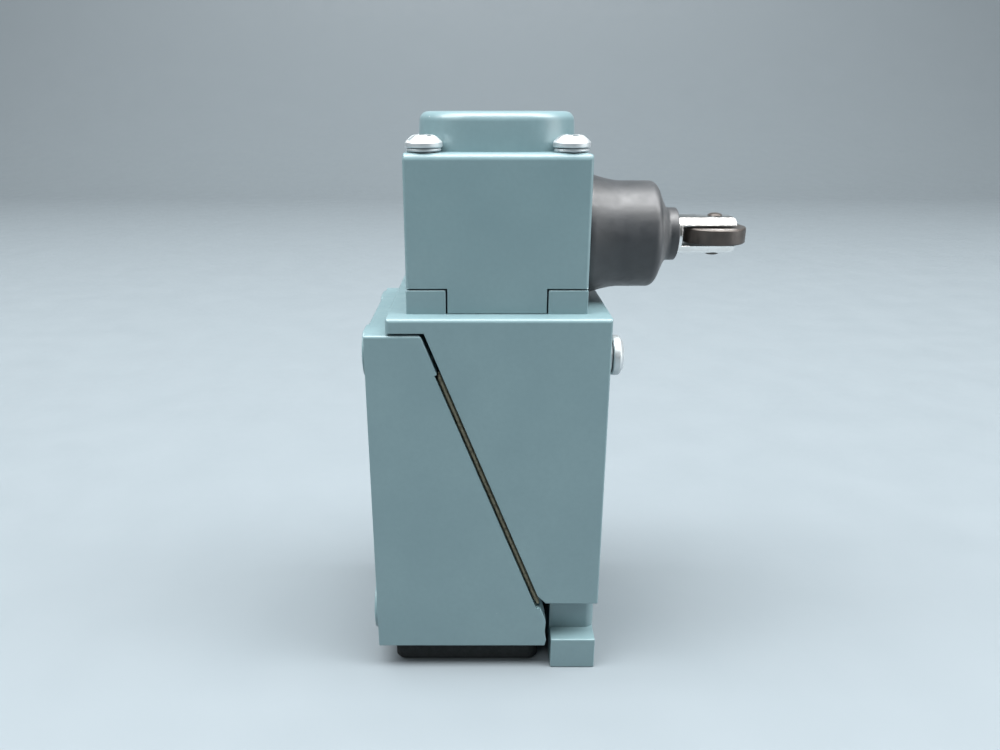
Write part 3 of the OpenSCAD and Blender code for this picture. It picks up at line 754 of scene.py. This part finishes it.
def node_coil(name, node, axis, wire, turns, offsets=(0.0,)):
    """The springs of a node, along axis, at the given offsets across it. Returns the piece and its ends."""
    low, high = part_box(node)
    mid = (low + high) / 2
    reach = (high - low) * 0.5
    radius = reach.z if axis is X_AXIS else reach.x
    span = axis * reach.dot(axis)
    start, end = mid - span, mid + span
    shift = [Y_AXIS * offset for offset in offsets]
    springs = [coil(start + s, end + s, radius - wire / 2, wire, turns) for s in shift]
    return as_piece(merged(springs), name, node), tuple(start), tuple(end)


SIDES = (-4.9 * MM, 4.9 * MM)
plunger_coils, start, end = node_coil(
    "plunger_spring_coils", "plunger_springs", X_AXIS, 0.55 * MM, 11, SIDES
)
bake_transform(plunger_coils)
carrier_coil, start, end = node_coil("carrier_spring_coil", "carrier_spring", Z_AXIS, 0.5 * MM, 7)
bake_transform(carrier_coil)
bridge_coil, start, end = node_coil("bridge_spring_coil", "bridge_spring", Z_AXIS, 0.4 * MM, 6)
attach(bridge_coil, "carrier")


# ------------------------------------------------------- nodes that keep their CAD shape


def kept(node, width):
    """A CAD node that keeps its shape: modifiers break its edges, and it wears its slot's material."""
    part = frame["nodes"][node]
    part.data.materials.clear()
    part.data.materials.append(MATERIALS[slot_of[node]])
    weld = part.modifiers.new("weld", "WELD")
    weld.merge_threshold = WELD
    flats = part.modifiers.new("flats", "DECIMATE")
    flats.decimate_type = "DISSOLVE"
    flats.angle_limit = FLAT
    edges = part.modifiers.new("edges", "BEVEL")
    edges.width = width
    edges.segments = 2
    edges.limit_method = "ANGLE"
    edges.angle_limit = SHARP
    shading = part.modifiers.new("shading", "WEIGHTED_NORMAL")
    shading.keep_sharp = True


for node, part in frame["nodes"].items():
    if not part.hide_render:
        kept(node, 0.05 * MM)


# ---------------------------------------------------------------- studio

stand_z = cad_box[0].z
FLOOR_COLOUR = (0.190, 0.222, 0.242)


def make_backdrop():
    """A pale floor that sweeps up behind the object."""
    paint = Paint("pale_floor", Metallic=0.0, Specular_IOR_Level=0.35)
    dimmer = tuple(0.97 * c for c in FLOOR_COLOUR)
    paint.colour(paint.mix(paint.noise(60 * MM, detail=4), FLOOR_COLOUR, dimmer))
    paint.rough(paint.remap(paint.noise(20 * MM, detail=3), 0.3, 0.7, 0.45, 0.6))
    shape = bmesh.new()
    half_w = 3.0
    front = -1.5
    back = 0.9
    bend = 0.5
    line = [(front, 0.0), (back, 0.0)]
    for i in range(1, 17):
        angle = math.pi / 2 * i / 16
        line.append((back + bend * math.sin(angle), bend * (1 - math.cos(angle))))
    line.append((back + bend, 2.5))
    rows = [[shape.verts.new((side * half_w, y, stand_z + z)) for side in (-1, 1)] for y, z in line]
    for first, second in zip(rows, rows[1:]):
        shape.faces.new((first[0], first[1], second[1], second[0]))
    mesh = bpy.data.meshes.new("backdrop")
    shape.to_mesh(mesh)
    shape.free()
    mesh.polygons.foreach_set("use_smooth", [True] * len(mesh.polygons))
    mesh.materials.append(paint.material)
    floor = bpy.data.objects.new("backdrop", mesh)
    bpy.context.scene.collection.objects.link(floor)


make_backdrop()


def softbox(name, spot, target, size, power):
    """A rectangular white area light at spot that looks at target."""
    light = bpy.data.lights.new(name, "AREA")
    light.shape = "RECTANGLE"
    light.size, light.size_y = size
    light.energy = power
    lamp = bpy.data.objects.new(name, light)
    lamp.location = spot
    lamp.rotation_euler = (Vector(target) - Vector(spot)).to_track_quat("-Z", "Y").to_euler()
    bpy.context.scene.collection.objects.link(lamp)


centre = (cad_box[0] + cad_box[1]) / 2
softbox("ceiling_light", (0.04, -0.13, 0.95), centre, (2.4, 0.5), 50.0)
softbox("front_fill", (-0.80, -0.80, 0.80), centre, (0.7, 0.6), 3.0)
softbox("side_fill", (1.0, -0.28, 0.2), centre, (0.6, 0.6), 4.0)
softbox("backdrop_light", (0.0, 0.35, 1.30), (0.0, 1.25, 0.45), (1.6, 0.4), 16.0)

world = bpy.data.worlds.new("studio")
bpy.context.scene.world = world
world.use_nodes = True
world.node_tree.nodes["Background"].inputs["Color"].default_value = (0.86, 0.90, 0.93, 1)
world.node_tree.nodes["Background"].inputs["Strength"].default_value = 0.14

bpy.context.scene.view_settings.view_transform = "Standard"

# ---------------------------------------------------------------- camera

PITCH = math.radians(18.83)
lens = bpy.data.cameras.new("camera")
lens.lens = 28.72
lens.sensor_width = 36.0
lens.shift_x = 0.020
lens.shift_y = 0.003
lens.clip_start = 0.01
camera = bpy.data.objects.new("camera", lens)
camera.location = (22.37 * MM, -164.19 * MM, 74.86 * MM)
camera.rotation_euler = (math.pi / 2 - PITCH, 0, 0)
bpy.context.scene.collection.objects.link(camera)
bpy.context.scene.camera = camera
